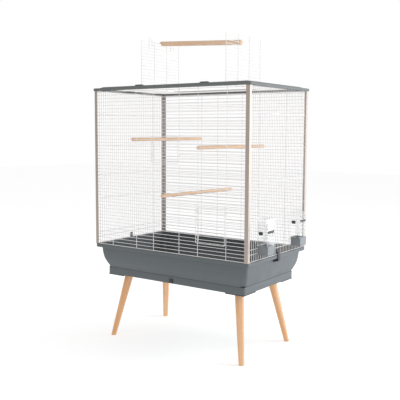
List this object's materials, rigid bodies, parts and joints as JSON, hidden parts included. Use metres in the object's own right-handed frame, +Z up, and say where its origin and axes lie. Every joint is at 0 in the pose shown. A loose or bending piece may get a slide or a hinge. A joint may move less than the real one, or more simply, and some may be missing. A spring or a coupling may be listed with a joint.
{
  "type": "bird cage on stand",
  "caption": "Rectangular wire bird cage with a deep plastic tray on a frame with splayed wooden legs, open roof doors with a perch, and side feeders.",
  "frame": {"origin": "on the floor, under the centre of the whole part's bounding box, which is 20 mm towards the feeders from the cage's centre", "axes": "+Z up, +X along the cage towards the side with the feeders, +Y from the side with the front doors to the back"},
  "size_m": [0.828, 0.488, 1.314],
  "materials": {
    "leg_beech": "clear-lacquered beech",
    "perch_wood": "bare turned wood",
    "tray_plastic": "satin moulded plastic, blue grey",
    "roof_plastic": "moulded plastic, grey",
    "dark_plastic": "moulded plastic, near black",
    "post_metal": "satin champagne anodised",
    "white_wire": "white coated steel wire",
    "bolt_steel": "zinc plated",
    "cup_plastic": "moulded plastic, mid grey",
    "clear_plastic": "clear moulded plastic"
  },
  "bodies": {
    "stand": {"leg_back_left": "leg_beech", "leg_back_right": "leg_beech", "leg_bolt_back_left": "bolt_steel", "leg_bolt_back_right": "bolt_steel", "leg_bolt_front_left": "bolt_steel", "leg_bolt_front_right": "bolt_steel", "leg_front_left": "leg_beech", "leg_front_right": "leg_beech", "leg_socket_back_left": "dark_plastic", "leg_socket_back_right": "dark_plastic", "leg_socket_front_left": "dark_plastic", "leg_socket_front_right": "dark_plastic", "seam_clip_back": "dark_plastic", "seam_clip_front": "dark_plastic", "stand_frame_left": "tray_plastic", "stand_frame_right": "tray_plastic"},
    "cage": {"back_grille_bars": "white_wire", "back_grille_uprights": "white_wire", "corner_post_back_left": "post_metal", "corner_post_back_right": "post_metal", "corner_post_front_left": "post_metal", "corner_post_front_right": "post_metal", "feeder_catch_back": "dark_plastic", "feeder_catch_front": "dark_plastic", "feeder_handle_back": "dark_plastic", "feeder_handle_front": "dark_plastic", "feeder_hood_back": "clear_plastic", "feeder_hood_front": "clear_plastic", "front_grille_bars": "white_wire", "front_grille_uprights": "white_wire", "latch_bracket_left": "dark_plastic", "latch_bracket_right": "dark_plastic", "left_grille_bars": "white_wire", "left_grille_crossbars": "white_wire", "perch_left": "perch_wood", "perch_low": "perch_wood", "perch_right": "perch_wood", "right_grille_bars": "white_wire", "right_grille_crossbars": "white_wire", "roof_clip_left": "roof_plastic", "roof_clip_right": "roof_plastic", "roof_frame": "roof_plastic", "roof_grille_back": "white_wire", "roof_grille_front": "white_wire", "roof_grille_left": "white_wire", "roof_grille_right": "white_wire", "roof_hinge_rod_left": "white_wire", "roof_hinge_rod_right": "white_wire", "tray": "tray_plastic"},
    "roof_door_left": {"roof_door_left": "white_wire", "roof_catch_front": "white_wire", "roof_catch_back": "white_wire"},
    "roof_door_right": {"roof_door_right": "white_wire"},
    "roof_perch": {"roof_perch": "perch_wood"},
    "front_door_lower_right": {"front_door_lower_right": "white_wire"},
    "front_door_upper_middle": {"front_door_upper_middle": "white_wire"},
    "tray_latch_left": {"tray_latch_left": "dark_plastic"},
    "tray_latch_right": {"tray_latch_right": "dark_plastic"},
    "feeder_cup_front": {"feeder_cup_front": "cup_plastic"},
    "feeder_cup_back": {"feeder_cup_back": "cup_plastic"}
  },
  "joints": [
    {"name": "cage_lift", "type": "slide", "parent": "stand", "child": "cage", "axis": [0, 0, 1], "range_m": [0, 0.08]},
    {"name": "roof_door_left_swing", "type": "hinge", "parent": "cage", "child": "roof_door_left", "pos_m": [-0.233, 0, 1.09425], "axis": [0, 1, 0], "range_deg": [-85, 0]},
    {"name": "roof_door_right_swing", "type": "hinge", "parent": "cage", "child": "roof_door_right", "pos_m": [0.193, 0, 1.09425], "axis": [0, 1, 0], "range_deg": [0, 85]},
    {"name": "roof_perch_tilt", "type": "hinge", "parent": "roof_door_right", "child": "roof_perch", "pos_m": [0.193, -0.02, 1.26675], "axis": [0, 1, 0], "range_deg": [0, 20]},
    {"name": "front_door_lower_right_slide", "type": "slide", "parent": "cage", "child": "front_door_lower_right", "axis": [0, 0, 1], "range_m": [0, 0.11]},
    {"name": "front_door_upper_middle_slide", "type": "slide", "parent": "cage", "child": "front_door_upper_middle", "axis": [0, 0, 1], "range_m": [0, 0.085]},
    {"name": "tray_latch_left_swing", "type": "hinge", "parent": "cage", "child": "tray_latch_left", "pos_m": [-0.4015, 0, 0.394], "axis": [0, 1, 0], "range_deg": [-60, 0]},
    {"name": "tray_latch_right_swing", "type": "hinge", "parent": "cage", "child": "tray_latch_right", "pos_m": [0.3615, 0, 0.394], "axis": [0, 1, 0], "range_deg": [0, 60]},
    {"name": "feeder_cup_front_slide", "type": "slide", "parent": "cage", "child": "feeder_cup_front", "axis": [1, 0, 0], "range_m": [0, 0.045]},
    {"name": "feeder_cup_back_slide", "type": "slide", "parent": "cage", "child": "feeder_cup_back", "axis": [1, 0, 0], "range_m": [0, 0.045]}
  ]
}
